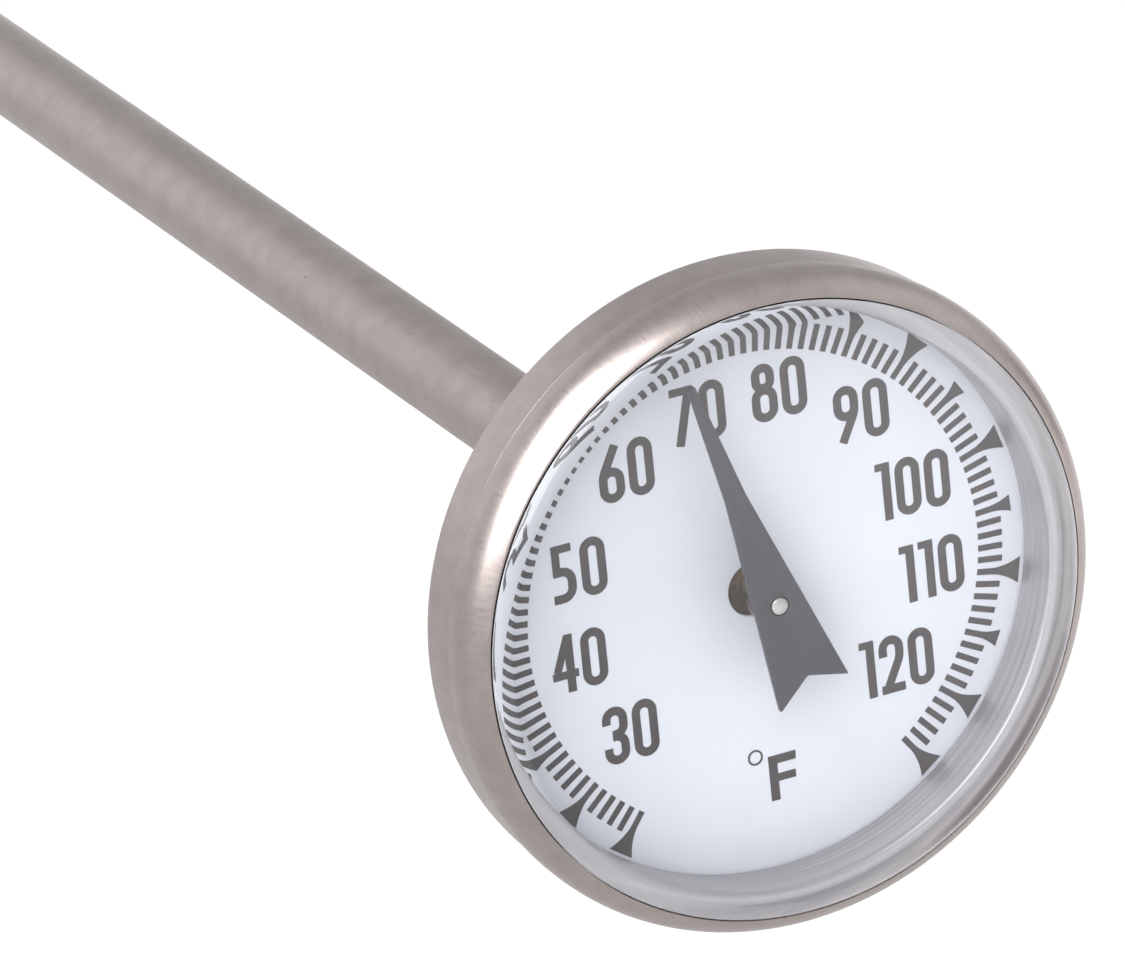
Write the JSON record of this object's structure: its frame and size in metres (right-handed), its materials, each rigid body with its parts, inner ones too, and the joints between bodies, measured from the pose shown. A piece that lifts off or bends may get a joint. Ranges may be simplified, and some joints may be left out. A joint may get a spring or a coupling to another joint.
{
  "type": "darkroom thermometer",
  "caption": "Pocket dial thermometer with a slim hollow stem, a bimetal helix inside it and a round dial square to the stem.",
  "frame": {"origin": "on the stem's axis, at the flat back of the case", "axes": "+Y runs from the case along the stem to its tip, the dial faces -Y, +Z is the dial's 12 o'clock and +X is its 3 o'clock"},
  "size_m": [0.0272, 0.1332, 0.0272],
  "materials": {
    "stem_steel": "satin drawn stainless tube",
    "case_steel": "fine brushed stainless, warm grey",
    "ring_steel": "bright satin, turned in rings",
    "nut_steel": "machined stainless",
    "spring_steel": "plain rolled spring steel",
    "bush_brass": "turned brass, tarnished",
    "bimetal_strip": "rolled strip",
    "clear_crystal": "clear moulded plastic",
    "gasket_rubber": "matt pale grey",
    "dial_white": "satin white enamel on aluminium",
    "pointer_black": "satin slate black",
    "scale_ink": "matt dark grey-brown print"
  },
  "bodies": {
    "stem": {"stem_tube": "stem_steel", "stem_tip_plug": "stem_steel", "stem_flange": "spring_steel", "friction_washer": "spring_steel", "calibration_nut": "nut_steel", "upper_shaft_bush": "bush_brass", "middle_shaft_bush": "bush_brass", "lower_shaft_bush": "bush_brass", "bimetal_coil": "bimetal_strip", "coil_anchor_pin": "nut_steel"},
    "head": {"case_cup": "case_steel", "bezel_ring": "case_steel", "crystal": "clear_crystal", "crystal_gasket": "gasket_rubber", "crystal_ring": "ring_steel", "dial_plate": "dial_white", "dial_support_ring": "spring_steel"},
    "pointer": {"pointer": "pointer_black", "pointer_hub": "bush_brass", "pointer_shaft": "nut_steel", "coil_collar": "bush_brass"}
  },
  "joints": [
    {"name": "calibration_turn", "type": "hinge", "parent": "stem", "child": "head", "pos_m": [0, 0, 0], "axis": [0, 1, 0], "continuous": true},
    {"name": "pointer_swing", "type": "hinge", "parent": "stem", "child": "pointer", "pos_m": [0, 0, 0], "axis": [0, 1, 0], "range_deg": [-128.1, 159.8], "stiffness_Nm_per_rad": 0.00002}
  ]
}
